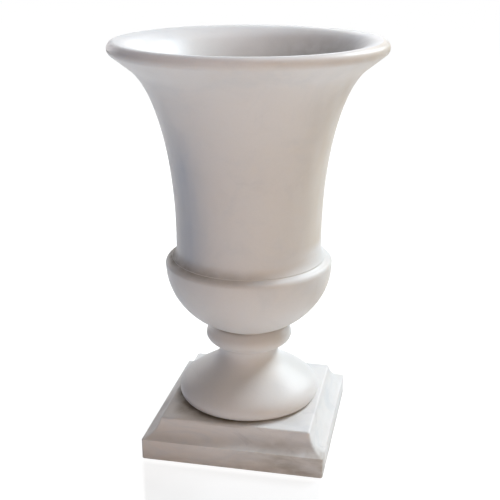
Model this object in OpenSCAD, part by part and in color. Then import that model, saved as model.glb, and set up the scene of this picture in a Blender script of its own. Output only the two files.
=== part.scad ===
// Campana vase of white marble on a square moulded plinth.
// Five stones stand on thin beds of adhesive and are drawn together by a threaded rod on the axis.
// The bell stands in a socket that is turned in the bowl, and its hollow runs down into the bowl.
// Millimetres. +Z is the axis of the turned stones. The origin is on it, in the plane under the pads.

/* [Plinth] */
// Side of the square band round the bottom
plinth_w = 202; // [190:1:230]
// Height of the whole plinth
plinth_h = 44.4; // [40:0.2:60]
// Height of the plain band
band_h = 23.8; // [18:0.2:30]
// How far the hollow moulding cuts in from the band
cove_w = 16.8; // [6:0.2:18]
// How deep the hollow moulding is, from the straight line between its edges
cove_depth = 3.5; // [2:0.1:4]
// Rounding of the top edge
arris_r = 2.5; // [1:0.5:4]

/* [Foot] */
// Greatest diameter of the foot
foot_d = 160.8; // [150:0.2:166]
// How far the foot tucks in again below its greatest diameter
tuck_w = 7; // [3:0.5:12]
// Height of the greatest diameter over the plinth
tuck_h = 8.8; // [5:0.1:14]
// Height of the foot from plinth to knop
foot_h = 62.8; // [50:0.2:90]
// Diameter of the neck on top of the foot
neck_d = 66; // [56:0.5:72]
// Height of the upright part of the neck
neck_h = 5; // [3:0.2:10]

/* [Knop] */
// Greatest diameter of the knop
knop_d = 97.7; // [90:0.1:116]
// Height of the knop
knop_h = 24.6; // [18:0.1:34]
// Breadth of the rounded rim of the knop
knop_rim_w = 25.9; // [22:0.1:32]
// Diameter of the flat seat between knop and bowl
bowl_seat_d = 74.5; // [70:0.2:84]

/* [Bowl] */
// Breadth of the ledge round the waist of the bell
ledge_w = 12.4; // [11:0.2:18]
// Breadth of the rounding at the ledge's edge
shoulder_w = 9.3; // [8:0.1:11]
// Height of the rounding at the ledge's edge
shoulder_h = 6.4; // [5:0.1:8]
// How far the ledge's rim is cut below the top of that rounding
ledge_cut = 1.2; // [0.8:0.1:2]
// Slope of the ledge at its rim, from level
ledge_fall = 24; // [16:1:30]
// Height of the bowl from its seat to the ledge's rim
bowl_h = 80.4; // [72:0.4:110]
// Thickness of stone under the hollow
floor_t = 26; // [22:0.5:36]
// Diameter of the flat bottom of the hollow
floor_d = 44; // [40:1:60]

/* [Bell] */
// Diameter of the bell's waist
waist_d = 160.6; // [150:0.2:172]
// How far the bell's foot spreads from the waist down to its joint on the ledge
spread_w = 4.4; // [3:0.2:5]
// Height over the ledge's rim at which the bell begins to flare
waist_h = 28.2; // [20:0.2:45]
// Height of the bell over the ledge's rim
bell_h = 237.8; // [220:0.2:280]
// Thickness of the wall at the waist
wall_t = 17; // [14:0.5:22]
// Diameter over the lip
lip_d = 292.4; // [284:0.2:310]
// Radius of the lip's rounded nose
nose_r = 7.2; // [5:0.2:8.4]
// How far the slope under the lip reaches in
slope_w = 22.6; // [19:0.2:27]
// How far the slope under the lip reaches down
slope_h = 28.4; // [24:0.2:33]
// Lean of the bell's side at the slope, from upright
side_lean = 49; // [46:0.5:56]
// Breadth of the nearly flat top of the lip
land_w = 4; // [2:0.2:7]
// Fall of that top towards the mouth
land_fall = 6.8; // [2:0.2:9]
// Radius in which the lip rolls over into the mouth
mouth_r = 33; // [28:0.5:36]
// Lean of the hollow's side at the mouth, from upright
mouth_lean = 39.5; // [36:0.5:46]
// Length of the spigot below the ledge's rim
spigot_h = 10.8; // [8:0.2:18]
// Thickness of the spigot
spigot_t = 8; // [6:0.5:10]

/* [Joints and fittings] */
// Thickness of each bed of adhesive
bed_t = 0.6; // [0.4:0.1:1]
// How far each bed is raked back from the edge of its joint
bed_rake = 0.2; // [0.1:0.1:1]
// Clearance round the spigot and under it
spigot_gap = 0.5; // [0.3:0.1:0.8]
// Diameter of the threaded rod
rod_d = 10; // [8:0.5:12]
// Diameter of the bore for the rod
bore_d = 12; // [11:0.5:14]
// How far the rod stands out past each nut
rod_out = 4; // [1:0.5:6]
// Width across the flats of the nuts
nut_w = 17; // [16:0.5:19]
// Height of the nuts
nut_h = 8; // [6:0.5:10]
// Diameter of the wide washers
washer_d = 30; // [26:0.5:34]
// Thickness of the wide washers
washer_t = 2; // [1.5:0.1:3]
// Diameter of the rubber washer
seal_d = 34; // [32:0.5:38]
// Thickness of the rubber washer
seal_t = 2; // [1.5:0.1:3]
// Thickness of the spring washer
lock_t = 2.2; // [1.6:0.1:3]
// Diameter of the spring washer
lock_d = 18; // [16.5:0.1:20]
// Diameter of the counterbore under the plinth
counterbore_d = 44; // [40:1:56]
// Depth of the counterbore
counterbore_h = 19; // [18:0.2:21]
// Diameter of a felt pad
pad_d = 25; // [16:1:34]
// Thickness of a felt pad
pad_t = 1; // [0.8:0.1:2]
// How far a pad stays in from the plinth's sides
pad_inset = 9; // [4:0.5:16]

/* [Hidden] */
$fn = 96;

// Chords in each curved stretch of an outline, and overrun of the cuts
steps = 16;
over = 1;

// Levels of the joints, from the plane under the pads upwards
plinth_z = pad_t;
foot_z = plinth_z + plinth_h;
knop_z = foot_z + foot_h;
bowl_z = knop_z + knop_h;
ledge_z = bowl_z + bowl_h;
lip_z = ledge_z + bell_h;

// Radii that neighbouring pieces share
bore_r = bore_d / 2;
neck_r = neck_d / 2;
seat_r = bowl_seat_d / 2;
waist_r = waist_d / 2;
bowl_r = waist_r + ledge_w;
hollow_r = waist_r - wall_t;
spigot_r = hollow_r + spigot_t;
socket_r = spigot_r + spigot_gap;

// A hollow quarter round leads from the waist down to the ledge's rim, where it is cut short. The
// joint of bell and bowl runs round it, part of the way down.
rim_turn = asin(1 - ledge_cut / shoulder_h);
rim_r = bowl_r - shoulder_w * (1 - cos(rim_turn));
sweep_r = (rim_r - waist_r) / (1 - sin(ledge_fall));
sweep_z = ledge_z + sweep_r * cos(ledge_fall);
bell_turn = acos(1 - spread_w / sweep_r);
bell_z = sweep_z - sweep_r * sin(bell_turn);
bell_bed_z = bell_z - bed_t;

// Levels inside the bowl
spigot_z = ledge_z - spigot_h;
socket_z = spigot_z - spigot_gap;
floor_z = bowl_z + bed_t + floor_t;

// Stack of fittings on the rod
top_washer_z = floor_z + seal_t;
top_nut_z = top_washer_z + washer_t;
rod_top_z = top_nut_z + nut_h + rod_out;
base_washer_z = plinth_z + counterbore_h - washer_t;
lock_z = base_washer_z - lock_t;
base_nut_z = lock_z - nut_h;
rod_base_z = base_nut_z - rod_out;
// Radial clearances of the fittings on the rod
thread_gap = 0.1;
washer_gap = 0.3;
rod_chamfer = 1;
// Height of a nut's turned corner, as a share of how far the corner stands out
nut_chamfer_share = 0.6;
lock_split = 2;

// The upper side of the foot swells from the belly and is drawn in to the neck. These shares of its
// height are the lengths of the two handles of the curve, both of them upright.
foot_handle_shares = [0.36, 0.434];

// Points on an arc of an ellipse about (r, z) with half axes a and b, from angle t0 to angle t1
function arc(r, z, a, b, t0, t1) = [
    for (i = [0:steps])
        let (t = t0 + (t1 - t0) * i / steps)
        [r + a * cos(t), z + b * sin(t)]
];

// Points on a cubic curve from p0 to p3 with handles p1 and p2
function cubic(p0, p1, p2, p3) = [
    for (i = [0:steps])
        let (t = i / steps, u = 1 - t)
        u * u * u * p0 + 3 * u * u * t * p1 + 3 * u * t * t * p2 + t * t * t * p3
];

// Points on the elliptical flare that leaves p0 upright and reaches p1 leaning out by so many degrees
function flare(p0, p1, lean) =
    let (run = p1[0] - p0[0],
         rise = p1[1] - p0[1],
         turn = 2 * atan(sqrt(1 - 2 * run / (rise * tan(lean)))),
         a = run / (1 - cos(turn)),
         b = rise / sin(turn))
    arc(p0[0] + a, p0[1], -a, b, 0, turn);

// Angle of the line from p that touches the outer side of a circle
function tangent_turn(p, centre, radius) =
    let (d = centre - p)
    atan2(d[1], d[0]) - asin(radius / norm(d));

// Points on the arc of a circle from p0 to p1 that is so deep, hollow to the left of the way
function hollow_arc(p0, p1, depth) =
    let (way = p1 - p0,
         half = norm(way) / 2,
         radius = (half * half + depth * depth) / (2 * depth),
         centre = (p0 + p1) / 2 + (radius - depth) / (2 * half) * [-way[1], way[0]],
         middle = atan2(-way[0], way[1]),
         turn = asin(half / radius))
    arc(centre[0], centre[1], radius, radius, middle - turn, middle + turn);

function reversed(points) = [for (i = [len(points) - 1:-1:0]) points[i]];

// A solid turned on the axis from half of its section
module turned(points) {
    rotate_extrude()
        polygon(points);
}

// A flat ring on the axis
module ring(inner_r, outer_r, z, t) {
    turned([[inner_r, z], [outer_r, z], [outer_r, z + t], [inner_r, z + t]]);
}

// The plinth is the common part of two moulded bars that cross, which mitres the moulding
module moulded_bar() {
    half_w = plinth_w / 2;
    top_w = half_w - cove_w;
    cove_top_z = foot_z - arris_r;
    cove = hollow_arc([top_w, cove_top_z], [half_w, plinth_z + band_h], cove_depth);
    edge = arc(top_w - arris_r, cove_top_z, arris_r, arris_r, 90, 0);
    side = concat(edge, cove, [[half_w, plinth_z]]);
    mirrored = [for (p = side) [-p[0], p[1]]];
    rotate([90, 0, 0])
        linear_extrude(plinth_w + 2 * over, center = true)
            polygon(concat(side, reversed(mirrored)));
}

module plinth() {
    color("whitesmoke")
    difference() {
        intersection() {
            moulded_bar();
            rotate([0, 0, 90])
                moulded_bar();
        }
        translate([0, 0, plinth_z - over])
            cylinder(r = bore_r, h = plinth_h + 2 * over);
        translate([0, 0, plinth_z - over])
            cylinder(d = counterbore_d, h = counterbore_h + over);
    }
}

module foot_bed() {
    color("gainsboro")
        ring(bore_r, foot_d / 2 - tuck_w - bed_rake, foot_z, bed_t);
}

module foot() {
    foot_r = foot_d / 2;
    base_z = foot_z + bed_t;
    belly_z = foot_z + tuck_h;
    neck_z = knop_z - neck_h;
    rise = neck_z - belly_z;
    low_handle = foot_handle_shares[0] * rise;
    high_handle = foot_handle_shares[1] * rise;
    tuck = arc(foot_r - tuck_w, belly_z, tuck_w, tuck_h - bed_t, -90, 0);
    side = cubic([foot_r, belly_z],
                 [foot_r, belly_z + low_handle],
                 [neck_r, neck_z - high_handle],
                 [neck_r, neck_z]);
    color("whitesmoke")
        turned(concat([[bore_r, base_z]], tuck, side, [[neck_r, knop_z], [bore_r, knop_z]]));
}

module knop_bed() {
    color("gainsboro")
        ring(bore_r, neck_r - bed_rake, knop_z, bed_t);
}

// The rim of the knop is part of an ellipse that runs from the neck to the seat of the bowl
module knop() {
    base_z = knop_z + bed_t;
    rim_r = knop_d / 2 - knop_rim_w;
    low_turn = -acos((neck_r - rim_r) / knop_rim_w);
    high_turn = acos((seat_r - rim_r) / knop_rim_w);
    rim_b = (bowl_z - base_z) / (sin(high_turn) - sin(low_turn));
    rim_z = base_z - rim_b * sin(low_turn);
    rim = arc(rim_r, rim_z, knop_rim_w, rim_b, low_turn, high_turn);
    color("whitesmoke")
        turned(concat([[bore_r, base_z]], rim, [[bore_r, bowl_z]]));
}

module bowl_bed() {
    color("gainsboro")
        ring(bore_r, seat_r - bed_rake, bowl_z, bed_t);
}

// The bowl's side is part of an ellipse from the seat to the widest level, below the shoulder
module bowl() {
    base_z = bowl_z + bed_t;
    wide_z = ledge_z + ledge_cut - shoulder_h;
    low_turn = -acos(seat_r / bowl_r);
    side_b = (base_z - wide_z) / sin(low_turn);
    side = arc(0, wide_z, bowl_r, side_b, low_turn, 0);
    shoulder = arc(bowl_r - shoulder_w, wide_z, shoulder_w, shoulder_h, 0, rim_turn);
    top_turn = 180 + asin((sweep_z - bell_bed_z) / sweep_r);
    ledge = arc(waist_r + sweep_r, sweep_z, sweep_r, sweep_r, 270 - ledge_fall, top_turn);
    floor_r = floor_d / 2;
    hollow = arc(floor_r, socket_z, hollow_r - floor_r, socket_z - floor_z, 0, -90);
    color("whitesmoke")
        turned(concat([[bore_r, base_z]], side, shoulder, ledge,
                      [[socket_r, bell_bed_z], [socket_r, socket_z]], hollow, [[bore_r, floor_z]]));
}

module bell_bed() {
    color("gainsboro")
        ring(socket_r, waist_r + spread_w - bed_rake, bell_bed_z, bed_t);
}

module bell() {
    waist_z = ledge_z + waist_h;
    nose = [lip_d / 2 - nose_r, lip_z - nose_r];
    arris = [lip_d / 2 - slope_w, lip_z - slope_h];
    slope_turn = tangent_turn(arris, nose, nose_r);
    fall = [cos(land_fall), sin(land_fall)];
    rise = [-sin(land_fall), cos(land_fall)];
    edge = nose + rise * (nose_r - mouth_r) - fall * land_w;
    mouth_turn = 180 - mouth_lean;
    mouth = edge + mouth_r * [cos(mouth_turn), sin(mouth_turn)];
    color("whitesmoke")
        turned(concat([[hollow_r, spigot_z]],
                      flare([hollow_r, waist_z], mouth, mouth_lean),
                      arc(edge[0], edge[1], mouth_r, mouth_r, mouth_turn, 90 + land_fall),
                      arc(nose[0], nose[1], nose_r, nose_r, 90 + land_fall, slope_turn - 90),
                      reversed(flare([waist_r, waist_z], arris, side_lean)),
                      arc(waist_r + sweep_r, sweep_z, sweep_r, sweep_r, 180, 180 + bell_turn),
                      [[spigot_r, bell_z], [spigot_r, spigot_z]]));
}

module tie_rod() {
    rod_r = rod_d / 2;
    end_r = rod_r - rod_chamfer;
    color("silver")
        turned([[0, rod_base_z], [end_r, rod_base_z], [rod_r, rod_base_z + rod_chamfer],
                [rod_r, rod_top_z - rod_chamfer], [end_r, rod_top_z], [0, rod_top_z]]);
}

// A hexagon nut with its corners turned down above and below
module nut(z) {
    corner_r = nut_w / 2 / cos(30);
    face_r = nut_w / 2;
    drop = nut_chamfer_share * (corner_r - face_r);
    translate([0, 0, z])
        difference() {
            intersection() {
                cylinder(r = corner_r, h = nut_h, $fn = 6);
                turned([[0, 0], [face_r, 0], [corner_r, drop], [corner_r, nut_h - drop],
                        [face_r, nut_h], [0, nut_h]]);
            }
            translate([0, 0, -over])
                cylinder(r = rod_d / 2 + thread_gap, h = nut_h + 2 * over);
        }
}

module base_nut() {
    color("silver")
        nut(base_nut_z);
}

module top_nut() {
    color("silver")
        nut(top_nut_z);
}

module lock_washer() {
    color("dimgray")
    difference() {
        ring(rod_d / 2 + washer_gap, lock_d / 2, lock_z, lock_t);
        translate([0, -lock_split / 2, lock_z - over])
            cube([lock_d, lock_split, lock_t + 2 * over]);
    }
}

module base_washer() {
    color("silver")
        ring(rod_d / 2 + washer_gap, washer_d / 2, base_washer_z, washer_t);
}

module top_seal() {
    color("black")
        ring(rod_d / 2 + thread_gap, seal_d / 2, floor_z, seal_t);
}

module top_washer() {
    color("silver")
        ring(rod_d / 2 + washer_gap, washer_d / 2, top_washer_z, washer_t);
}

module felt_pads() {
    reach = plinth_w / 2 - pad_inset - pad_d / 2;
    color("dimgray")
    for (x = [-1, 1], y = [-1, 1])
        translate([x * reach, y * reach, 0])
            cylinder(d = pad_d, h = pad_t);
}

plinth();
foot_bed();
foot();
knop_bed();
knop();
bowl_bed();
bowl();
bell_bed();
bell();
tie_rod();
base_nut();
lock_washer();
base_washer();
top_seal();
top_washer();
top_nut();
felt_pads();
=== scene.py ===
import math

import bpy
import numpy as np
from mathutils import Matrix, Vector


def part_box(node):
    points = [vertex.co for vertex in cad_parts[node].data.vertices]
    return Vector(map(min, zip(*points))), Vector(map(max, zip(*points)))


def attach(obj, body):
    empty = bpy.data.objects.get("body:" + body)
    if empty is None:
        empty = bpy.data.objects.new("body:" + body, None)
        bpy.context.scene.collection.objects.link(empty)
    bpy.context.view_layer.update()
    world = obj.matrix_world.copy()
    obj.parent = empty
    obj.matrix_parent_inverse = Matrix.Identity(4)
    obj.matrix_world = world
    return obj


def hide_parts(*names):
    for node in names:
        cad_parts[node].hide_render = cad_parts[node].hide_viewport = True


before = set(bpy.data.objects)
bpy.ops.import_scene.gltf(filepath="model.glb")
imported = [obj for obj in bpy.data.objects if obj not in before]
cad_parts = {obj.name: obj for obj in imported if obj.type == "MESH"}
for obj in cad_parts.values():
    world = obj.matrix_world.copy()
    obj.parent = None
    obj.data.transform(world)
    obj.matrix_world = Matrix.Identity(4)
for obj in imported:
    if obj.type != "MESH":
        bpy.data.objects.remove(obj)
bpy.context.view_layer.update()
scene = bpy.context.scene
scene.view_settings.view_transform = "Standard"

# The camera stands about a metre off and looks down at the vase from a little above its lip,
# with the plinth's front side broad in view and its right-hand side at a grazing angle.
camera_distance = 0.9743
camera_height = 0.5635
camera_azimuth = math.radians(11.88)
camera_tilt = math.radians(19.45)
camera_swing = math.radians(0.074)
camera_roll = math.radians(-0.115)
lens = bpy.data.cameras.new("camera")
lens.sensor_width = 36
lens.lens = 66.67
camera = bpy.data.objects.new("camera", lens)
scene.collection.objects.link(camera)
scene.camera = camera
camera.matrix_world = (
    Matrix.Translation((camera_distance * math.sin(camera_azimuth),
                        -camera_distance * math.cos(camera_azimuth), camera_height))
    @ Matrix.Rotation(camera_azimuth - camera_swing, 4, "Z")
    @ Matrix.Rotation(math.pi / 2 - camera_tilt, 4, "X")
    @ Matrix.Rotation(camera_roll, 4, "Z"))


# Felt pads: four discs of pressed grey wool felt, stuck under the corners of the plinth so that
# the stone neither scratches nor slips. Their edge is cut, and furs a little.
pad_low, pad_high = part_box("felt_pads")
pad_r = 0.0125
pad_edge = 0.0003
pad_turns = 72
fur_depth = 0.00012
fur_waves = (31, 17)
fur_shift = (90, 70)
felt_dark = (0.16, 0.155, 0.15, 1)
felt_pale = (0.40, 0.385, 0.37, 1)


def arc(r, z, a, b, start, end, count):
    """Points r + a cos t, z + b sin t of an elliptical arc, t running from start to end in
    degrees."""
    t = np.radians(np.linspace(start, end, count + 1))
    return np.stack([r + a * np.cos(t), z + b * np.sin(t)], axis=1)


def stretch(start, end, count):
    """Points on a straight line, crowded towards both ends by a half cosine, so that a rounded
    corner beside it keeps its own shading."""
    t = (1 - np.cos(np.pi * np.linspace(0, 1, count + 1))) / 2
    return (1 - t[:, None]) * np.array(start) + t[:, None] * np.array(end)


def outline(*runs):
    """The runs of a section joined end to end, each point that repeats the one before left out."""
    points = np.concatenate(runs)
    step = np.linalg.norm(points - np.roll(points, 1, axis=0), axis=1)
    return points[step > 1e-7]


def rings(section, turns):
    """Revolves a section: each point (radius, height) becomes a ring r cos a, r sin a, height."""
    a = 2 * np.pi * np.arange(turns) / turns
    r = section[:, :1]
    level = np.repeat(section[:, 1:], turns, axis=1)
    return np.stack([r * np.cos(a), r * np.sin(a), level], axis=-1)


def skin(name, grid, masks=(), closed=True):
    """A mesh over a grid of points [along the section, round the axis, xyz]. Each ring closes on
    itself and, unless closed is off, so does the section. Masks are values kept at the points."""
    sections, turns = grid.shape[:2]
    here = np.arange(sections if closed else sections - 1)[:, None] * turns
    there = (here + turns) % (sections * turns)
    column = np.arange(turns)
    after = (column + 1) % turns
    quads = np.stack([here + column, here + after, there + after, there + column], axis=-1)
    quads = quads.reshape(-1, 4)
    mesh = bpy.data.meshes.new(name)
    mesh.from_pydata(grid.reshape(-1, 3), [], quads)
    mesh.polygons.foreach_set("use_smooth", np.ones(len(quads), dtype=bool))
    for mask, values in dict(masks).items():
        attribute = mesh.attributes.new(mask, "FLOAT", "POINT")
        attribute.data.foreach_set("value", np.asarray(values, dtype=np.float32).reshape(-1))
    mesh.update()
    piece = bpy.data.objects.new(name, mesh)
    scene.collection.objects.link(piece)
    return piece


def joined(name, pieces):
    """One object of the meshes of several."""
    whole = pieces[0]
    with bpy.context.temp_override(active_object=whole, selected_editable_objects=pieces):
        bpy.ops.object.join()
    whole.name = name
    whole.data.name = name
    return whole


def feed(made, sockets):
    """Gives each named socket of a node a value, or links another node's output to it."""
    for key, value in sockets.items():
        if isinstance(value, bpy.types.NodeSocket):
            made.id_data.links.new(value, made.inputs[key])
        else:
            made.inputs[key].default_value = value


def node(tree, kind, sockets=(), **settings):
    """Adds a node, with its settings first and its sockets after them."""
    made = tree.nodes.new(kind)
    for key, value in settings.items():
        setattr(made, key, value)
    feed(made, dict(sockets))
    return made


def noise(tree, place, scale, detail, distortion, roughness=0.5):
    """The value of a noise texture."""
    made = node(tree, "ShaderNodeTexNoise",
                {"Vector": place, "Scale": scale, "Detail": detail,
                 "Distortion": distortion, "Roughness": roughness})
    return made.outputs["Fac"]


def relief(tree, height, strength, distance):
    """The normal of a surface that a height roughens."""
    made = node(tree, "ShaderNodeBump",
                {"Height": height, "Strength": strength, "Distance": distance})
    return made.outputs["Normal"]


def new_material(name):
    """An empty node material: its node tree, its surface shader and its object coordinates."""
    material = bpy.data.materials.new(name)
    material.use_nodes = True
    tree = material.node_tree
    tree.nodes.clear()
    shader = node(tree, "ShaderNodeBsdfPrincipled")
    node(tree, "ShaderNodeOutputMaterial", {"Surface": shader.outputs["BSDF"]})
    place = node(tree, "ShaderNodeTexCoord").outputs["Object"]
    return material, tree, shader, place


def dress(piece, material, slot, *nodes):
    """Gives a finished piece its material, hangs it from the root body and hides the CAD nodes
    that it stands for. The slot is not used.
    """
    piece.data.materials.clear()
    piece.data.materials.append(material)
    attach(piece, "root")
    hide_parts(*nodes)


felt, tree, shader, place = new_material("grey felt")
fibre = noise(tree, place, 900, 4, 2.5)
shade = node(tree, "ShaderNodeValToRGB", {"Fac": fibre})
for stop, position, tone in zip(shade.color_ramp.elements, (0.3, 0.72), (felt_dark, felt_pale)):
    stop.position = position
    stop.color = tone
feed(shader, {"Base Color": shade.outputs["Color"], "Roughness": 0.95, "Sheen Weight": 0.35,
              "Normal": relief(tree, fibre, 0.8, 0.0003)})

face_r = pad_r - pad_edge
low, high = pad_low[2], pad_high[2]
pad_section = outline(stretch((0, low), (face_r, low), 8),
                      arc(face_r, low + pad_edge, pad_edge, pad_edge, -90, 0, 4),
                      arc(face_r, high - pad_edge, pad_edge, pad_edge, 0, 90, 4),
                      stretch((face_r, high), (0, high), 8))
pads = []
for x in (pad_low[0] + pad_r, pad_high[0] - pad_r):
    for y in (pad_low[1] + pad_r, pad_high[1] - pad_r):
        disc = rings(pad_section, pad_turns)
        angle = np.arctan2(disc[..., 1], disc[..., 0])
        fur = (np.sin(fur_waves[0] * angle + fur_shift[0] * x)
               * np.sin(fur_waves[1] * angle + fur_shift[1] * y))
        disc[..., :2] *= (1 - fur_depth / pad_r * (1 + fur))[..., None]
        disc += (x, y, 0)
        pads.append(skin("pad", disc, closed=False))
dress(joined("felt_discs", pads), felt, "grey_felt", "felt_pads")


# The plinth: one square slab of white marble, sawn, its hollow moulding cut on all four sides and
# mitred at the corners, then honed. It is bored for the tie rod and counterbored underneath, and
# its edges are eased, with the small losses that stone edges have.
plinth_low, plinth_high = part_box("plinth")
plinth_w = plinth_high[0]
plinth_base = plinth_low[2]
plinth_top = plinth_high[2]
band_h = 0.0238
cove_w = 0.0168
cove_depth = 0.0035
top_edge_r = 0.0025
band_edge_r = 0.0007
base_edge_r = 0.0012
corner_r = 0.0024
bore_r = 0.006
counterbore_r = 0.022
counterbore_h = 0.019
top_square_w = 0.010
top_round_w = 0.012
base_square_share = 0.5
base_round_share = 0.4
side_steps = 90
corner_steps = 7
edge_wear_w = 0.0018
corner_wear_w = 0.0035
wear_reach_in = 0.004
nick_depth = 0.00035
nick_pitch = 0.021
small_nick_pitch = 0.0067
streak_pitch = 0.048
streak_flatness = 5
front_from = 0.080
front_fade = 0.010
# Radius, width and spread of the painted shadow around the foot.
foot_shadow_r = 0.0735
foot_shadow_w = 0.0055
foot_shadow_spill = 0.0075


def near(section, *spots):
    """How close each point of a section is to any of the spots, each given as r, z, reach and
    depth: depth exp(-(distance / reach)^2)."""
    mask = np.zeros(len(section))
    for r, z, reach, depth in spots:
        away = np.linalg.norm(section - (r, z), axis=1)
        mask = np.maximum(mask, depth * np.exp(-(away / reach) ** 2))
    return mask


def hollow_arc(start, end, depth, count):
    """Points on the arc of a circle from start to end, bowed by depth to the left of the way. Its
    radius is (half^2 + depth^2) / (2 depth), half being half the straight distance."""
    way = np.array(end) - np.array(start)
    half = np.linalg.norm(way) / 2
    radius = (half ** 2 + depth ** 2) / (2 * depth)
    left = np.array((-way[1], way[0])) / (2 * half)
    centre = (np.array(start) + np.array(end)) / 2 - (radius - depth) * left
    middle = math.degrees(math.atan2(left[1], left[0]))
    turn = math.degrees(math.asin(half / radius))
    return arc(centre[0], centre[1], radius, radius, middle + turn, middle - turn, count)


def rounded_square(half_w):
    """Points round a square with rounded corners, from the middle of its right side on: each
    side's straight stretch, crowded to its ends by a half cosine, then a quarter circle."""
    reach = half_w - corner_r
    t = (1 - np.cos(np.pi * (np.arange(side_steps) + 0.5) / side_steps)) / 2
    side = np.stack([np.full(side_steps, half_w), reach * (2 * t - 1)], axis=1)
    quarter = np.concatenate([side, arc(reach, reach, corner_r, corner_r, 0, 90, corner_steps)])
    quarters = [quarter]
    for _ in range(3):
        quarter = np.stack([-quarter[:, 1], quarter[:, 0]], axis=1)
        quarters.append(quarter)
    return np.concatenate(quarters)


def clouds(points, pitch, phase):
    """Slow hills and hollows from -1 to 1: the mean of three products of sines whose waves run in
    different directions, pitch metres apart."""
    k = 2 * np.pi / pitch
    x, y, z = points[..., 0], points[..., 1], points[..., 2]
    first = np.sin(k * (x + 0.31 * y) + phase) * np.sin(k * (0.83 * z - 0.4 * x) + 2.1 * phase)
    second = np.sin(k * (0.71 * y - 0.5 * z) + 3.3 * phase) * np.sin(k * (0.6 * x + 0.9 * z) + 1.7)
    third = np.sin(k * (0.9 * x - 0.77 * y) + 0.6) * np.sin(k * (1.1 * y + 0.2 * z) + 4.9 * phase)
    return (first + second + third) / 3


def ease(tree, value, low, high, to_low=0.0, to_high=1.0):
    """A value eased from one range to another."""
    made = node(tree, "ShaderNodeMapRange",
                {"Value": value, "From Min": low, "From Max": high,
                 "To Min": to_low, "To Max": to_high},
                interpolation_type="SMOOTHSTEP")
    return made.outputs["Result"]


def calc(tree, operation, first, second=0.0):
    """Arithmetic on two values, by the name of the operation."""
    return node(tree, "ShaderNodeMath", {0: first, 1: second}, operation=operation).outputs["Value"]


def blend(tree, share, first, second):
    """A mix of two colours, share of it the second. Sockets 6 and 7 are the node's colours."""
    made = node(tree, "ShaderNodeMix", {"Factor": share, 6: first, 7: second}, data_type="RGBA")
    return made.outputs[2]


# The marble of all five stones. Clouds of warm and of grey stone lie over the ground colour, thin
# broken veins run through it, and calcite grains give it a fine tooth. A painted reflection tints
# it khaki where the tint's value is above zero and slate grey where it is below. Worn edges are
# paler and duller. Dust and painted shade darken the hollows and joints, and where they are
# strongest the painted shade turns nearly black.
ground_white = (0.74, 0.72, 0.70, 1)
cloud_cream = (0.72, 0.68, 0.645, 1)
cloud_grey = (0.64, 0.642, 0.648, 1)
vein_grey = (0.42, 0.42, 0.43, 1)
calcite_white = (0.93, 0.92, 0.90, 1)
# The two tints of a painted reflection: khaki on the right of the bell and bowl, slate grey on the
# front left of the bell.
reflected_khaki = (0.60, 0.50, 0.38, 1)
reflected_slate = (0.40, 0.455, 0.545, 1)
worn_white = (0.90, 0.88, 0.86, 1)
# Brown of dust, also used for painted shade in joints, hollows and under the foot.
dust_and_shade_brown = (0.33, 0.29, 0.24, 1)
# Near-black painted shade where the dust and painted shade are strongest: contact shadows and the
# tightest joints.
contact_shade_black = (0.12, 0.10, 0.08, 1)
marble_group = bpy.data.node_groups.new("clouded marble", "ShaderNodeTree")
for way, kind, titles in (
        ("INPUT", "NodeSocketVector", ("Position",)),
        ("INPUT", "NodeSocketColor", ("Ground", "Warm", "Grey")),
        ("INPUT", "NodeSocketFloat", ("Clouding", "Veining", "Polish", "Wear", "Dust_and_shade", "Reflection_tint")),
        ("OUTPUT", "NodeSocketColor", ("Colour",)),
        ("OUTPUT", "NodeSocketFloat", ("Roughness", "Height"))):
    for title in titles:
        marble_group.interface.new_socket(title, in_out=way, socket_type=kind)
tree = marble_group
given = node(tree, "NodeGroupInput").outputs
spot = given["Position"]
warm_cloud = ease(tree, noise(tree, spot, 7, 4, 0.8), 0.38, 0.68)
grey_cloud = ease(tree, noise(tree, spot, 15, 6, 1.4, 0.6), 0.46, 0.74)
vein_way = calc(tree, "SUBTRACT", noise(tree, spot, 5.5, 7, 1.6, 0.55), 0.5)
vein_line = ease(tree, calc(tree, "ABSOLUTE", vein_way), 0.0, 0.022, 1.0, 0.0)
vein_break = ease(tree, noise(tree, spot, 11, 3, 0.4), 0.5, 0.66)
vein = calc(tree, "MULTIPLY", vein_line, vein_break)
grain = ease(tree, noise(tree, spot, 420, 4, 0.6, 0.65), 0.35, 0.68)
# Dust with painted shade, broken into patches.
dust_and_shade_patches = ease(tree, noise(tree, spot, 60, 5, 0.5), 0.2, 0.7, 0.45, 1.0)
settled_dust_and_shade = calc(tree, "MULTIPLY", given["Dust_and_shade"], dust_and_shade_patches)
stone = given["Ground"]
# Among these layers the khaki and slate ones are a painted reflection, and the brown and black ones
# are dust with painted shade.
for share, colour in (
        (calc(tree, "MULTIPLY", warm_cloud, given["Clouding"]), given["Warm"]),
        (calc(tree, "MULTIPLY", grey_cloud, given["Clouding"]), given["Grey"]),
        (calc(tree, "MULTIPLY", vein, given["Veining"]), vein_grey),
        (calc(tree, "MULTIPLY", grain, 0.05), calcite_white),
        (given["Reflection_tint"], reflected_khaki),
        (calc(tree, "MULTIPLY", given["Reflection_tint"], -1.0), reflected_slate),
        (calc(tree, "MULTIPLY", given["Wear"], 0.12), worn_white),
        (settled_dust_and_shade, dust_and_shade_brown),
        (ease(tree, given["Dust_and_shade"], 0.9, 2.0), contact_shade_black)):
    stone = blend(tree, share, stone, colour)
dull = given["Polish"]
for cause, amount in ((grey_cloud, 0.05), (given["Wear"], 0.14), (settled_dust_and_shade, 0.35), (grain, 0.04)):
    dull = calc(tree, "ADD", dull, calc(tree, "MULTIPLY", cause, amount))
tooth = calc(tree, "ADD", calc(tree, "MULTIPLY", grain, 0.1), noise(tree, spot, 75, 3, 0.2))
node(tree, "NodeGroupOutput", {"Colour": stone, "Roughness": dull, "Height": tooth})


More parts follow.
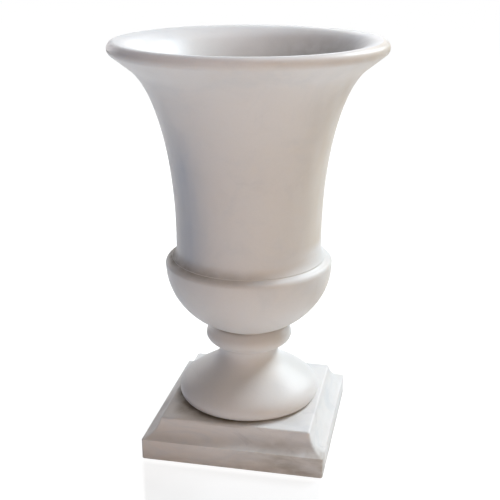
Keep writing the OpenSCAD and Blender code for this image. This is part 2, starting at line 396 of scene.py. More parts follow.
def marble(name, shift, clouding, veining, polish, bedding=1.0):
    """The finish of one stone. Shift moves the stone's figure, because each is cut from the block
    at another place, and bedding says how many times flatter than wide the clouds lie in it."""
    material, tree, shader, place = new_material(name)
    moved = node(tree, "ShaderNodeMapping",
                 {"Vector": place, "Location": shift, "Scale": (1, 1, bedding)})
    masks = {title: node(tree, "ShaderNodeAttribute", attribute_name=title.lower()).outputs["Fac"]
             for title in ("Wear", "Dust_and_shade", "Reflection_tint")}
    figure = node(tree, "ShaderNodeGroup",
                  {"Position": moved.outputs["Vector"], "Ground": ground_white,
                   "Warm": cloud_cream, "Grey": cloud_grey, "Clouding": clouding,
                   "Veining": veining, "Polish": polish, **masks},
                  node_tree=marble_group).outputs
    feed(shader, {"Base Color": figure["Colour"], "Roughness": figure["Roughness"],
                  "Normal": relief(tree, figure["Height"], 0.06, 0.0006), "IOR": 1.40,
                  "Subsurface Weight": 0.12, "Subsurface Radius": (1.0, 0.8, 0.65),
                  "Subsurface Scale": 0.006})
    return material


# The slab's section in two parts: the square one runs from the underside up the side to the top,
# and the bored one from there down the bore and the counterbore.
cove_low = plinth_base + band_h
cove_top = plinth_top - top_edge_r
top_w = plinth_w - cove_w
base_w = plinth_w - base_edge_r
band_edge = arc(plinth_w - band_edge_r, cove_low - band_edge_r, band_edge_r, band_edge_r, 0, 76, 5)
square = outline(stretch((plinth_w * base_square_share, plinth_base), (base_w, plinth_base), 8),
                 arc(base_w, plinth_base + base_edge_r, base_edge_r, base_edge_r, -90, 0, 5),
                 stretch((plinth_w, plinth_base + base_edge_r),
                         (plinth_w, cove_low - band_edge_r), 12),
                 band_edge,
                 hollow_arc(band_edge[-1], (top_w, cove_top), cove_depth, 26),
                 arc(top_w - top_edge_r, cove_top, top_edge_r, top_edge_r, 0, 90, 7),
                 stretch((top_w - top_edge_r, plinth_top), (top_w - top_square_w, plinth_top), 5))
ceiling = plinth_base + counterbore_h
bored = outline(stretch((top_w - top_round_w, plinth_top), (bore_r, plinth_top), 8),
                stretch((bore_r, plinth_top), (bore_r, ceiling), 8),
                stretch((bore_r, ceiling), (counterbore_r, ceiling), 6),
                stretch((counterbore_r, ceiling), (counterbore_r, plinth_base), 8),
                stretch((counterbore_r, plinth_base),
                        (plinth_w * base_round_share, plinth_base), 5))
section = np.concatenate([square, bored])
outer = rounded_square(plinth_w)
bearing = np.arctan2(outer[:, 1], outer[:, 0])
circle = np.stack([np.cos(bearing), np.sin(bearing)], axis=1)
plan = [rounded_square(half_w) for half_w in square[:, 0]] + [r * circle for r in bored[:, 0]]
slab = np.dstack([np.array(plan), np.repeat(section[:, 1:], len(outer), axis=1)])

# Wear lies along the three edges of each side and down the mitres, and the stone is nicked there.
edge = near(section, (plinth_w, plinth_base, edge_wear_w, 1), (plinth_w, cove_low, edge_wear_w, 1),
            (top_w, plinth_top, edge_wear_w, 1))[:, None]
from_corner = np.abs(np.abs(outer[:, 0]) - np.abs(outer[:, 1]))
upright = np.exp(-(from_corner / corner_wear_w) ** 2)[None, :]
sides = (section[:, 0] > top_w - wear_reach_in)[:, None]
worn = np.maximum(edge, upright * sides * 0.8)
nicks = clouds(slab, nick_pitch, 1.3) + 0.6 * clouds(slab, small_nick_pitch, 2.9)
nicks = np.clip(nicks - 0.25, 0, 1)
slab[..., :2] -= nick_depth * (worn * nicks)[..., None] * np.sign(slab[..., :2])

# Painted shade darkens the hollow and the lower edge on all sides. The front side is darkened by
# painted shade, more so towards its right end. A painted shadow rings the foot, except behind it on
# the right, and spreads wider in front of it on the left.
x, y = slab[..., 0], slab[..., 1]
# Painted shade in the hollow and along the lower edge.
hollow_shade = near(section, (plinth_w - 0.005, cove_low + 0.002, 0.006, 0.24),
             (plinth_w, plinth_base, 0.009, 0.60))[:, None]
streaks = 0.65 + 0.35 * clouds(slab * (1, 1, streak_flatness), streak_pitch, 0.9)
# Painted shade on the front side only, more towards its right end.
front = np.clip((-y - front_from) / front_fade, 0, 1)
right_end = np.clip((x / plinth_w + 0.1) / 0.6, 0, 1)
low_front_shade = near(section, (plinth_w, plinth_base + 0.004, 0.013, 1))[:, None]
cove_front_shade = near(section, (plinth_w - 0.004, cove_low + 0.004, 0.016, 1))[:, None]
stain_and_shade = low_front_shade * (0.30 + 0.60 * right_end) + cove_front_shade * 0.8 * right_end
# A painted shadow of the foot on the top: none behind it on the right, where the lights stand, and
# widest in front on the left.
from_axis = np.hypot(x, y)
foot_shadow = np.clip(0.6 - (0.9 * x + 0.7 * y) / from_axis, 0, 2)
front_left = np.clip(-(0.55 * x + 0.83 * y) / from_axis, 0, 1)
spread = foot_shadow_w + foot_shadow_spill * front_left ** 3
foot_shadow = foot_shadow * np.exp(-((from_axis - foot_shadow_r) / spread) ** 2)
on_top = (section[:, 1] > cove_top)[:, None]
# The plinth's mask of dust and shade holds only painted shade and the foot's painted shadow.
plinth_shade = np.maximum(np.maximum(hollow_shade, stain_and_shade * front) * streaks, foot_shadow * on_top)
plinth = skin("marble_plinth", slab, {"wear": worn * (0.4 + 0.6 * nicks), "dust_and_shade": plinth_shade})
plinth_marble = marble("marble of the plinth", (0.31, 0.12, 0.05), 0.8, 0.25, 0.46, 3.0)
dress(plinth, plinth_marble, "white_marble", "plinth")


# The foot: a turned marble bell-shaped foot with a short neck, on a thin bed of stone adhesive
# over the plinth. It is turned on a lathe and honed with water and fine grit.
foot_low, foot_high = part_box("foot")
foot_r = foot_high[0]
foot_base = foot_low[2]
foot_top = foot_high[2]
tuck_w = 0.007
belly_z = foot_base + 0.0082
neck_r = 0.033
neck_z = foot_top - 0.005
foot_handle_shares = (0.36, 0.434)
seat_ease = 0.0005
stone_turns = 208
waver_depth = 0.00012
waver_pitch = 0.085
least_r = 0.004
wear_pitch = 0.013
dust_and_shade_pitch = 0.031
# Pitch, stretch and fading of the bands of painted reflection.
reflection_pitch = 0.02
reflection_length = 5
reflection_start = 0.01
reflection_fade = 0.05


def cubic(p0, p1, p2, p3, count):
    """Points on the cubic curve from p0 to p3 with handles p1 and p2, t running from 0 to 1:
    (1-t)^3 p0 + 3 t (1-t)^2 p1 + 3 t^2 (1-t) p2 + t^3 p3."""
    t = np.linspace(0, 1, count + 1)[:, None]
    u = 1 - t
    return (u ** 3 * np.array(p0) + 3 * u * u * t * np.array(p1)
            + 3 * u * t * t * np.array(p2) + t ** 3 * np.array(p3))


def turned(name, section, wear_at=(), dust_and_shade_at=(), inner_shade_at=(), reflection_at=()):
    """A turned stone: its section revolved, and drawn in by slow waves of a tenth of a millimetre,
    as hand honing leaves it. The wear mask, the mask of dust and painted shade, and the painted
    inner shade lie near the given spots of the section. Dust and painted shade thin out by a cosine
    of the angle towards the right-hand side, where the main lights stand, so that on the left they
    are mostly painted shade. The inner shade lies only inside, where the section runs down, and
    mostly on the right. A painted reflection marks the outside in upright bands, each given as
    bearing, spread,
    lower and upper end and depth: depth exp(-(angle from the bearing / spread)^2)."""
    stone = rings(section, stone_turns)
    waver = 0.5 + 0.5 * clouds(stone, waver_pitch, 0.7)
    r = np.maximum(np.hypot(stone[..., 0], stone[..., 1]), least_r)
    stone[..., :2] *= (1 - waver_depth * waver / r)[..., None]
    wear = near(section, *wear_at)[:, None] * (0.55 + 0.45 * clouds(stone, wear_pitch, 2.2))
    dust_and_shade = near(section, *dust_and_shade_at)[:, None] * (0.75 + 0.25 * clouds(stone, dust_and_shade_pitch, 1.1))
    side = stone[..., 0] / r
    inside = (np.gradient(section[:, 1]) < 0)[:, None]
    # Painted shade inside, mostly on the right-hand side.
    inner_shade = near(section, *inner_shade_at)[:, None] * inside * np.clip(0.1 + 1.3 * side, 0, 1)
    # Thinning towards the right-hand side, where the main lights stand, makes this mostly painted
    # shade on the left.
    dust_and_shade = np.maximum(dust_and_shade * np.clip(0.35 - 0.65 * side, 0, 0.8), inner_shade)
    # Painted reflection: upright bands on the outside, tinted khaki where positive and slate grey
    # where negative.
    angle = np.degrees(np.arctan2(stone[..., 1], stone[..., 0]))
    height = stone[..., 2]
    reflection_tint = np.zeros(dust_and_shade.shape)
    for bearing, spread, lower, upper, depth in reflection_at:
        turn = (angle - bearing + 180) % 360 - 180
        band = (np.clip((height - lower) / reflection_start, 0, 1)
                * np.clip((upper - height) / reflection_fade, 0, 1))
        reflection_tint += depth * band * np.exp(-(turn / spread) ** 2) * ~inside
    reflection_tint *= 0.8 + 0.2 * clouds(stone * (1, 1, 1 / reflection_length), reflection_pitch, 3.0)
    return skin(name, stone, {"wear": wear, "dust_and_shade": dust_and_shade, "reflection_tint": reflection_tint})


neck_rise = neck_z - belly_z
foot_section = outline(
    stretch((bore_r, foot_base), (foot_r - tuck_w, foot_base), 14),
    arc(foot_r - tuck_w, belly_z, tuck_w, belly_z - foot_base, -90, 0, 18),
    cubic((foot_r, belly_z), (foot_r, belly_z + foot_handle_shares[0] * neck_rise),
          (neck_r, neck_z - foot_handle_shares[1] * neck_rise), (neck_r, neck_z), 64),
    stretch((neck_r, neck_z), (neck_r, foot_top - seat_ease), 6),
    arc(neck_r - seat_ease, foot_top - seat_ease, seat_ease, seat_ease, 0, 90, 4),
    stretch((neck_r - seat_ease, foot_top), (bore_r, foot_top), 10),
    stretch((bore_r, foot_top), (bore_r, foot_base), 10))
# Dust and painted shade darken the tuck over the plinth and the seat under the knop.
foot = turned("marble_foot", foot_section,
              dust_and_shade_at=((foot_r - tuck_w, foot_base, 0.005, 1.9), (neck_r, foot_top, 0.002, 0.7)))
foot_marble = marble("marble of the foot", (1.7, 0.4, 0.2), 0.35, 0.08, 0.42)
dress(foot, foot_marble, "white_marble", "foot")


# The knop: a flattened bead of marble between foot and bowl, turned with a soft rim and flat seats
# above and below.
knop_low, knop_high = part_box("knop")
knop_base = knop_low[2]
knop_top = knop_high[2]
knop_rim_w = 0.0259
knop_rim_r = knop_high[0] - knop_rim_w
seat_r = 0.03725
low_turn = -math.acos((neck_r - knop_rim_r) / knop_rim_w)
high_turn = math.acos((seat_r - knop_rim_r) / knop_rim_w)
knop_rim_h = (knop_top - knop_base) / (math.sin(high_turn) - math.sin(low_turn))
knop_rim_z = knop_base - knop_rim_h * math.sin(low_turn)
knop_section = outline(
    stretch((bore_r, knop_base), (neck_r, knop_base), 10),
    arc(knop_rim_r, knop_rim_z, knop_rim_w, knop_rim_h,
        math.degrees(low_turn), math.degrees(high_turn), 60),
    stretch((seat_r, knop_top), (bore_r, knop_top), 10),
    stretch((bore_r, knop_top), (bore_r, knop_base), 8))
# Dust and painted shade darken the seats below and above the knop.
knop = turned("marble_knop", knop_section,
              dust_and_shade_at=((neck_r, knop_base, 0.002, 0.5), (seat_r, knop_top, 0.003, 1.6)))
knop_marble = marble("marble of the knop", (0.6, 2.2, 0.9), 0.35, 0.06, 0.42)
dress(knop, knop_marble, "white_marble", "knop")


# The bowl: the rounded lower vessel, turned from one block of marble with a ledge and a socket on
# top. Its hollow has a flat bottom with a bore for the tie rod.
bowl_low, bowl_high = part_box("bowl")
bowl_r = bowl_high[0]
bowl_base = bowl_low[2]
bowl_top = bowl_high[2]
ledge_z = bowl_base + 0.0798
shoulder_w = 0.0093
shoulder_h = 0.0064
ledge_cut = 0.0012
ledge_fall = math.radians(24)
waist_r = 0.0803
hollow_r = 0.0633
socket_r = hollow_r + 0.0085
socket_z = ledge_z - 0.0113
floor_r = 0.022
floor_z = bowl_base + 0.026
widest_z = ledge_z + ledge_cut - shoulder_h
shoulder_turn = math.asin(1 - ledge_cut / shoulder_h)
ledge_r = bowl_r - shoulder_w * (1 - math.cos(shoulder_turn))
sweep_r = (ledge_r - waist_r) / (1 - math.sin(ledge_fall))
sweep_z = ledge_z + sweep_r * math.cos(ledge_fall)
bowl_top_turn = math.asin((sweep_z - bowl_top) / sweep_r)
bowl_top_r = waist_r + sweep_r * (1 - math.cos(bowl_top_turn))
bowl_turn = math.acos(seat_r / bowl_r)
bowl_side_h = (widest_z - bowl_base) / math.sin(bowl_turn)
bowl_section = outline(
    stretch((bore_r, bowl_base), (seat_r, bowl_base), 10),
    arc(0, widest_z, bowl_r, bowl_side_h, -math.degrees(bowl_turn), 0, 84),
    arc(bowl_r - shoulder_w, widest_z, shoulder_w, shoulder_h, 0, math.degrees(shoulder_turn), 22),
    arc(waist_r + sweep_r, sweep_z, sweep_r, sweep_r, 270 - math.degrees(ledge_fall),
        180 + math.degrees(bowl_top_turn), 12),
    stretch((bowl_top_r, bowl_top), (socket_r, bowl_top), 8),
    stretch((socket_r, bowl_top), (socket_r, socket_z), 6),
    stretch((socket_r, socket_z), (hollow_r, socket_z), 5),
    arc(floor_r, socket_z, hollow_r - floor_r, socket_z - floor_z, 0, -90, 40),
    stretch((floor_r, floor_z), (bore_r, floor_z), 8),
    stretch((bore_r, floor_z), (bore_r, bowl_base), 8))
# Dust and painted shade darken the ledge joint and the seat on the knop, painted shade lies inside
# on the right, and a band of painted reflection runs down the right-hand side.
bowl = turned("marble_bowl", bowl_section,
              wear_at=((bowl_r - 0.002, ledge_z - 0.002, 0.002, 0.5),),
              dust_and_shade_at=((bowl_top_r, bowl_top, 0.005, 1.4), (seat_r, bowl_base, 0.003, 1.9)),
              inner_shade_at=((floor_r, floor_z, 0.05, 0.7),),
              reflection_at=((-5, 22, bowl_base, widest_z + 0.02, 0.65),))
bowl_marble = marble("marble of the bowl", (0.2, 0.9, 1.6), 0.4, 0.08, 0.40)
dress(bowl, bowl_marble, "white_marble", "bowl")


# The bell: the tall flared vessel, hollow right through, turned in one piece with its rounded lip
# and the spigot that stands in the bowl's socket. Outside it is honed to a soft polish.
bell_low, bell_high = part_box("bell")
lip_r = bell_high[0]
lip_z = bell_high[2]
spigot_z = bell_low[2]
bed_t = 0.0006
bell_base = bowl_top + bed_t
waist_z = ledge_z + 0.0282
spigot_r = hollow_r + 0.008
nose_r = 0.0072
slope_w = 0.0226
slope_h = 0.0284
side_lean = math.radians(49)
land_w = 0.004
land_fall = math.radians(6.8)
mouth_r = 0.033
mouth_lean = math.radians(39.5)


def flare(start, end, lean, count):
    """Points on the elliptical arc that leaves start upright and reaches end leaning outwards. The
    arc turns through 2 atan sqrt(1 - 2 run / (rise tan lean)), which settles its two half axes."""
    run, rise = end[0] - start[0], end[1] - start[1]
    turn = 2 * math.atan(math.sqrt(1 - 2 * run / (rise * math.tan(lean))))
    a, b = run / (1 - math.cos(turn)), rise / math.sin(turn)
    return arc(start[0] + a, start[1], -a, b, 0, math.degrees(turn), count)


bell_turn = math.asin((sweep_z - bell_base) / sweep_r)
bell_foot_r = waist_r + sweep_r * (1 - math.cos(bell_turn))
nose = np.array((lip_r - nose_r, lip_z - nose_r))
arris = np.array((lip_r - slope_w, lip_z - slope_h))
slope_turn = math.atan2(*(nose - arris)[::-1]) - math.asin(nose_r / np.linalg.norm(nose - arris))
tangent = nose + nose_r * np.array((math.sin(slope_turn), -math.cos(slope_turn)))
land_rise = np.array((-math.sin(land_fall), math.cos(land_fall)))
land_way = np.array((math.cos(land_fall), math.sin(land_fall)))
roll = nose + land_rise * (nose_r - mouth_r) - land_way * land_w
mouth = roll + mouth_r * np.array((-math.cos(mouth_lean), math.sin(mouth_lean)))
land_turn = 90 + math.degrees(land_fall)
bell_section = outline(
    stretch((spigot_r, spigot_z), (spigot_r, bell_base), 6),
    stretch((spigot_r, bell_base), (bell_foot_r, bell_base), 8),
    arc(waist_r + sweep_r, sweep_z, sweep_r, sweep_r, 180 + math.degrees(bell_turn), 180, 22),
    stretch((waist_r, sweep_z), (waist_r, waist_z), 10),
    flare((waist_r, waist_z), arris, side_lean, 100),
    stretch(arris, tangent, 14),
    arc(nose[0], nose[1], nose_r, nose_r, math.degrees(slope_turn) - 90, land_turn, 40),
    stretch(nose + land_rise * nose_r, roll + land_rise * mouth_r, 4),
    arc(roll[0], roll[1], mouth_r, mouth_r, land_turn, 180 - math.degrees(mouth_lean), 44),
    flare((hollow_r, waist_z), mouth, mouth_lean, 90)[::-1],
    stretch((hollow_r, waist_z), (hollow_r, spigot_z), 10),
    stretch((hollow_r, spigot_z), (spigot_r, spigot_z), 5))
# Dust and painted shade darken the bell's foot on the ledge, painted shade lies inside it on the
# right, and bands of painted reflection run down its front left and its right.
bell = turned("marble_bell", bell_section,
              wear_at=((arris[0], arris[1], 0.0016, 0.4),),
              dust_and_shade_at=((bell_foot_r, bell_base, 0.008, 1.3),),
              inner_shade_at=((hollow_r, waist_z, 0.12, 1.0),
                       (mouth[0] - 0.020, mouth[1] - 0.05, 0.045, 1.5)),
              reflection_at=((-129, 15, bell_base, 0.375, -0.60),
                          (-8, 26, waist_z - 0.01, 0.5, 0.75)))
bell_marble = marble("marble of the bell", (0.0, 0.0, 0.0), 0.4, 0.07, 0.40)
dress(bell, bell_marble, "white_marble", "bell")


# The beds: thin layers of off-white stone adhesive in the four joints, raked back from the edge
# before they set, so that each joint shows as a fine shadow line. That of bell and bowl is struck
# nearly flush, because it lies in the open sweep of the ledge.
bed_bulge = 0.0001
bed_ragged = 0.00005
flush_rake = 0.00015
bed_dark = (0.66, 0.635, 0.60, 1)
bed_pale = (0.76, 0.74, 0.71, 1)


def squeezed_ring(inner_r, outer_r, low, high, bulge, flat, bend, bore):
    """The section of a soft flat ring whose outer edge bulges as half an ellipse. Flat, bend and
    bore count the steps on its faces, round its edge and down its bore."""
    half_h = (high - low) / 2
    face_r = outer_r - bulge
    return outline(stretch((inner_r, low), (face_r, low), flat),
                   arc(face_r, low + half_h, bulge, half_h, -90, 90, bend),
                   stretch((face_r, high), (inner_r, high), flat),
                   stretch((inner_r, high), (inner_r, low), bore))


adhesive, tree, shader, place = new_material("stone adhesive")
lumps = noise(tree, place, 260, 4, 0.4)
feed(shader, {"Base Color": blend(tree, lumps, bed_dark, bed_pale),
              "Roughness": ease(tree, lumps, 0.2, 0.8, 0.5, 0.75),
              "Normal": relief(tree, lumps, 0.5, 0.0003)})
for bed in ("foot_bed", "knop_bed", "bowl_bed", "bell_bed"):
    bed_low, bed_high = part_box(bed)
    flush = bed == "bell_bed"
    inner_r = socket_r if flush else bore_r
    outer_r = bowl_top_r - flush_rake if flush else bed_high[0]
    low, high = bed_low[2], bed_high[2]
    bed_section = squeezed_ring(inner_r, outer_r, low, high, bed_bulge, 6, 8, 2)
    layer = rings(bed_section, stone_turns)
    rim = near(bed_section, (outer_r, (low + high) / 2, 0.002, 1))[:, None]
    ragged = rim * (1 + clouds(layer, 0.019, 0.4))
    layer[..., :2] *= (1 - bed_ragged * ragged / outer_r)[..., None]
    dress(skin(bed + "_layer", layer), adhesive, "stone_adhesive", bed)


# The tie rod: a length of zinc-plated threaded rod up the axis, from the counterbore in the plinth
# to the bottom of the bowl's hollow. Its thread is rolled and its ends are sawn and chamfered.
rod_low, rod_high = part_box("tie_rod")
rod_r = rod_high[0]
rod_base = rod_low[2]
rod_top = rod_high[2]
rod_turns = 30
rod_chamfer = 0.001
thread_pitch = 0.0015
thread_depth = 0.0009
thread_steps = 8


def plated(name, tone, dull, scratch):
    """Plated steel: a tone that varies a little, and fine scratches along the turning
    direction."""
    material, tree, shader, place = new_material(name)
    flattened = node(tree, "ShaderNodeMapping", {"Vector": place, "Scale": (1, 1, 14)})
    stain_and_shade = ease(tree, noise(tree, place, 180, 4, 0.5), 0.3, 0.75)
    lines = noise(tree, flattened.outputs["Vector"], 700, 3, 0.1)
    stained_tone = tuple(c * 0.72 for c in tone[:3]) + (1,)
    feed(shader, {"Base Color": blend(tree, stain_and_shade, tone, stained_tone), "Metallic": 1.0,
                  "Roughness": ease(tree, lines, 0.25, 0.8, dull, dull + 0.2),
                  "Normal": relief(tree, lines, scratch, 0.0001)})
    return material


# The thread's height over its root is a trapezium of the way round and up: full over a tenth of
# the pitch, and none over half of it.
zinc = plated("zinc plate", (0.62, 0.635, 0.65, 1), 0.28, 0.25)
steps = thread_steps * int((rod_top - rod_base) / thread_pitch)
height = np.linspace(rod_base, rod_top, steps + 1)[:, None]
turn = 2 * np.pi * np.arange(rod_turns) / rod_turns
wave = (height / thread_pitch - turn / (2 * np.pi)) % 1
crest = np.clip(1.25 - 2.5 * np.abs(2 * wave - 1), 0, 1)
radius = rod_r - thread_depth * (1 - crest)
from_end = np.minimum(height - rod_base, rod_top - height)
radius = np.minimum(radius, rod_r - rod_chamfer + from_end)
level = np.repeat(height, rod_turns, 1)
shaft = np.stack([radius * np.cos(turn), radius * np.sin(turn), level], axis=-1)
caps = [np.zeros((1, rod_turns, 3)) + (0, 0, z) for z in (rod_base, rod_top)]
rod = skin("threaded_rod", np.concatenate([caps[0], shaft, caps[1]]), closed=False)
dress(rod, zinc, "zinc_plated_steel", "tie_rod")


# The nuts: two hexagon nuts, zinc plated, with the corners turned down above and below and the
# bore countersunk. One is in the plinth's counterbore and one at the bottom of the bowl's hollow.
nut_flat = 0.0085
nut_corner = nut_flat / math.cos(math.pi / 6)
nut_drop = 0.0006
nut_bore = 0.0051
nut_sink = 0.0006
nut_face_in = 0.0004
nut_corner_in = 0.0001
nut_bevel = 0.0003
nut_turns = 120
crease = math.radians(32)
turn = 2 * np.pi * np.arange(nut_turns) / nut_turns
side_r = nut_flat / np.cos((turn + np.pi / 6) % (np.pi / 3) - np.pi / 6)
side_r = np.minimum(side_r, nut_corner - nut_corner_in)
drop = nut_drop * ((side_r - nut_flat) / (nut_corner - nut_flat))
face_r = np.full(nut_turns, nut_flat - nut_face_in)
bore = np.full(nut_turns, nut_bore)
for nut in ("base_nut", "top_nut"):
    nut_low, nut_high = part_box(nut)
    low, high = nut_low[2], nut_high[2]
    rows = [(bore, low + nut_sink), (bore + nut_sink, low), (face_r, low),
            (side_r, low + drop), (side_r, low + drop + nut_bevel),
            (side_r, high - drop - nut_bevel), (side_r, high - drop),
            (face_r, high), (bore + nut_sink, high), (bore, high - nut_sink)]
    hexagon = [np.stack([r * np.cos(turn), r * np.sin(turn), np.zeros(nut_turns) + z], axis=-1)
               for r, z in rows]
    piece = skin("hexagon_" + nut, np.array(hexagon))
    piece.modifiers.new("crease", "EDGE_SPLIT").split_angle = crease
    dress(piece, zinc, "zinc_plated_steel", nut)


# The washers: two wide zinc-plated washers that spread the pull of the nuts over the stone,
# punched from strip so that their edges are rolled over.
washer_bore = 0.0053
washer_edge = 0.0004
fitting_turns = 96


def flat_ring(inner_r, outer_r, low, high, edge, flat, bend):
    """The section of a flat ring with four rounded edges. Flat and bend count the steps on its
    faces and round each edge."""
    inner, outer = inner_r + edge, outer_r - edge
    return outline(stretch((inner, low), (outer, low), flat),
                   arc(outer, low + edge, edge, edge, -90, 0, bend),
                   arc(outer, high - edge, edge, edge, 0, 90, bend),
                   stretch((outer, high), (inner, high), flat),
                   arc(inner, high - edge, -edge, edge, 90, 0, bend),
                   arc(inner, low + edge, -edge, edge, 0, -90, bend))


for washer in ("base_washer", "top_washer"):
    washer_low, washer_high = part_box(washer)
    washer_section = flat_ring(washer_bore, washer_high[0], washer_low[2], washer_high[2],
                               washer_edge, 6, 4)
    piece = skin("wide_" + washer, rings(washer_section, fitting_turns))
    dress(piece, zinc, "zinc_plated_steel", washer)


# The spring washer: a split ring of dark spring steel under the base nut, pressed nearly flat,
# which keeps the pull on the rod when the adhesive and the rubber settle.
lock_low, lock_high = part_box("lock_washer")
lock_bore = 0.0053
lock_r = lock_high[1]
lock_edge = 0.00025
split_w = 0.002
half_split = math.asin(split_w / 2 / lock_r)
lock_section = flat_ring(lock_bore, lock_r, lock_low[2], lock_high[2], lock_edge, 4, 3)
sweep = np.linspace(half_split, 2 * np.pi - half_split, fitting_turns + 1)[:, None]
level = np.repeat(lock_section[None, :, 1], len(sweep), 0)
coil = np.stack([lock_section[:, 0] * np.cos(sweep), lock_section[:, 0] * np.sin(sweep), level],
                axis=-1)
ends = [np.repeat(coil[i].mean(0)[None, None], len(lock_section), 1) for i in (0, -1)]
spring_grid = np.concatenate([ends[0], coil, ends[1]])[:, ::-1]
spring = skin("split_spring_washer", spring_grid, closed=False)
spring_steel = plated("spring steel", (0.20, 0.20, 0.21, 1), 0.38, 0.3)
dress(spring, spring_steel, "spring_steel", "lock_washer")


# The seal: a black rubber washer under the top washer, squeezed a little, which keeps water in the
# vase out of the bore.
seal_low, seal_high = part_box("top_seal")
seal_bore = rod_r + 0.0001
seal_bulge = 0.0006
rubber_black = (0.03, 0.03, 0.032, 1)
rubber_bloom = (0.075, 0.073, 0.07, 1)
rubber, tree, shader, place = new_material("black rubber")
bloom = noise(tree, place, 240, 5, 0.6)
feed(shader, {"Base Color": blend(tree, ease(tree, bloom, 0.35, 0.8), rubber_black, rubber_bloom),
              "Roughness": ease(tree, bloom, 0.2, 0.8, 0.55, 0.8),
              "Normal": relief(tree, bloom, 0.3, 0.0002)})
seal_section = squeezed_ring(seal_bore, seal_high[0], seal_low[2], seal_high[2], seal_bulge,
                             5, 10, 3)
dress(skin("rubber_seal", rings(seal_section, fitting_turns)), rubber, "black_rubber", "top_seal")


# The floor: a plain pale sheet that runs off on all sides. It shows white to the camera, a little
# less so close to the vase, whose soft shadow stays on it, and in front, where a painted reflection
# of the plinth darkens it. The vase mirrors it at a quarter of its strength, because it stood in a
# dimmer room.
floor_reach = 30.0
floor_seen = (0.14, 0.14, 0.14, 1)
floor_lit = (0.80, 0.80, 0.80, 1)
mirrored_share = 0.25
glow_at_vase = 0.94
glow_from = 0.12
glow_to = 0.34
# Place, size and fading of the painted reflection of the plinth.
painted_reflection_left = 0.021
painted_reflection_half_w = 0.108
painted_reflection_edge_w = 0.115
painted_reflection_start_w = 0.01
painted_reflection_growth_w = 0.08
painted_reflection_depth = 0.11
painted_reflection_growth = 0.06
painted_reflection_fade_from = 0.17
painted_reflection_fade_to = 0.25
mesh = bpy.data.meshes.new("floor")
corners = [(x * floor_reach, y * floor_reach, 0) for x, y in ((-1, -1), (1, -1), (1, 1), (-1, 1))]
mesh.from_pydata(corners, [], [(0, 1, 2, 3)])
floor = bpy.data.objects.new("floor", mesh)
scene.collection.objects.link(floor)
paper, tree, shader, place = new_material("pale floor")
ray = node(tree, "ShaderNodeLightPath").outputs
mirrored = calc(tree, "MAXIMUM", ray["Is Glossy Ray"], ray["Is Transmission Ray"])
mirrored = calc(tree, "MULTIPLY", mirrored, mirrored_share)
seen = calc(tree, "MAXIMUM", ray["Is Camera Ray"], mirrored)


def along(way):
    """How far a place on the floor lies from the axis in a direction."""
    made = node(tree, "ShaderNodeVectorMath", {0: place, 1: way}, operation="DOT_PRODUCT")
    return made.outputs["Value"]


# The painted reflection of the plinth has upright sides in the picture, so its width is measured
# across the camera's view, as a share of the distance from the camera. It starts at the plinth and
# fades out.
away = node(tree, "ShaderNodeVectorMath", {0: place}, operation="LENGTH").outputs["Value"]
glow = ease(tree, away, glow_from, glow_to, glow_at_vase, 1.0)
across = along((math.cos(camera_azimuth), math.sin(camera_azimuth), 0))
beyond = along((-math.sin(camera_azimuth), math.cos(camera_azimuth), 0))
ahead = along((0, -1, 0))
aside = calc(tree, "DIVIDE", across, calc(tree, "ADD", beyond, camera_distance))
aside = calc(tree, "ABSOLUTE", calc(tree, "ADD", aside, painted_reflection_left))
painted_reflection_start = plinth_w + painted_reflection_start_w
painted_reflection = calc(tree, "ADD", ease(tree, ahead, plinth_w, painted_reflection_start, 0.0, painted_reflection_depth),
             ease(tree, ahead, painted_reflection_start, plinth_w + painted_reflection_growth_w, 0.0, painted_reflection_growth))
for limit in (ease(tree, aside, painted_reflection_half_w, painted_reflection_edge_w, 1.0, 0.0),
              ease(tree, ahead, painted_reflection_fade_from, painted_reflection_fade_to, 1.0, 0.0)):
    painted_reflection = calc(tree, "MULTIPLY", limit, painted_reflection)
# The painted reflection lowers the floor's glow in front of the plinth.
glow = calc(tree, "MULTIPLY", glow, calc(tree, "SUBTRACT", 1.0, painted_reflection))
feed(shader, {"Base Color": blend(tree, ray["Is Camera Ray"], floor_lit, floor_seen),
              "Roughness": 0.25, "Emission Color": (1, 1, 1, 1),
              "Emission Strength": calc(tree, "MULTIPLY", seen, glow)})
floor.data.materials.append(paper)

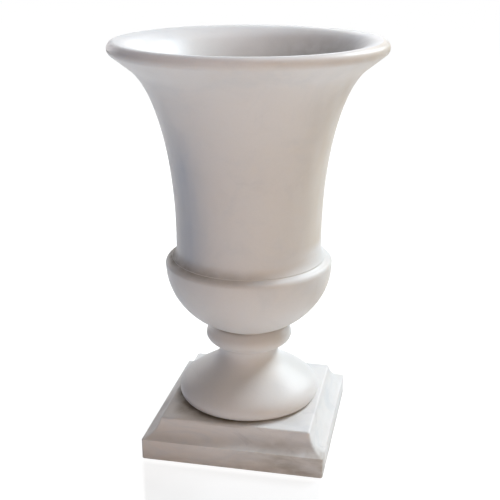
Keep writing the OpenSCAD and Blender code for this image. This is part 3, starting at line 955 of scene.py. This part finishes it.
# The light: a room that is white where it is seen and gives no light of its own. Its main windows
# stand behind on the right, the highest halfway up. Wide soft ones fill in from the right, from
# behind, from above and, low and weak, from the front.
world = bpy.data.worlds.new("room")
world.use_nodes = True
tree = world.node_tree
tree.nodes.clear()
ray = node(tree, "ShaderNodeLightPath").outputs
white = node(tree, "ShaderNodeBackground",
             {"Color": (1, 1, 1, 1), "Strength": ray["Is Camera Ray"]})
node(tree, "ShaderNodeOutputWorld", {"Surface": white.outputs["Background"]})
scene.world = world
aim = Vector((0, 0, 0.2))


def window(name, bearing, rise, distance, width, power, colour):
    """A soft square light that faces the middle of the vase. Bearing is in degrees from the
    right-hand side of the plinth towards its back, and rise in degrees above level."""
    light = bpy.data.lights.new(name, "AREA")
    light.shape = "SQUARE"
    light.size, light.energy, light.color = width, power, colour
    lamp = bpy.data.objects.new(name, light)
    scene.collection.objects.link(lamp)
    bearing, rise = math.radians(bearing), math.radians(rise)
    way = Vector((math.cos(rise) * math.cos(bearing), math.cos(rise) * math.sin(bearing),
                  math.sin(rise)))
    facing = way.to_track_quat("Z", "Y").to_matrix().to_4x4()
    lamp.matrix_world = Matrix.Translation(aim + distance * way) @ facing


window("key right", 36, 42, 2.6, 0.34, 28.0, (0.82, 0.92, 1.00))
window("key low left", 52, 26, 2.6, 0.34, 15.9, (0.82, 0.93, 1.00))
window("key left", 52, 42, 2.6, 0.34, 27.6, (0.84, 0.93, 1.00))
window("high right", 5, 75, 2.4, 0.9, 7.8, (0.76, 0.86, 1.00))
window("right front", 345, 45, 2.4, 0.9, 3.2, (1.00, 0.98, 0.82))
window("back", 90, 25, 2.4, 0.7, 6.4, (1.00, 0.98, 0.98))
window("low back", 110, 12, 2.4, 0.9, 5.2, (1.00, 0.99, 0.99))
window("low back left", 135, 12, 2.4, 1.0, 11.5, (1.00, 0.96, 0.95))
window("low front", 265, 12, 2.4, 0.8, 12.6, (0.85, 0.86, 1.00))
window("low front right", 305, 12, 2.4, 0.8, 9.1, (1.00, 0.56, 0.11))
window("top", 90, 85, 2.4, 1.2, 5.9, (0.97, 0.95, 1.00))
window("high front", 300, 75, 2.4, 0.9, 5.6, (0.97, 0.91, 1.00))
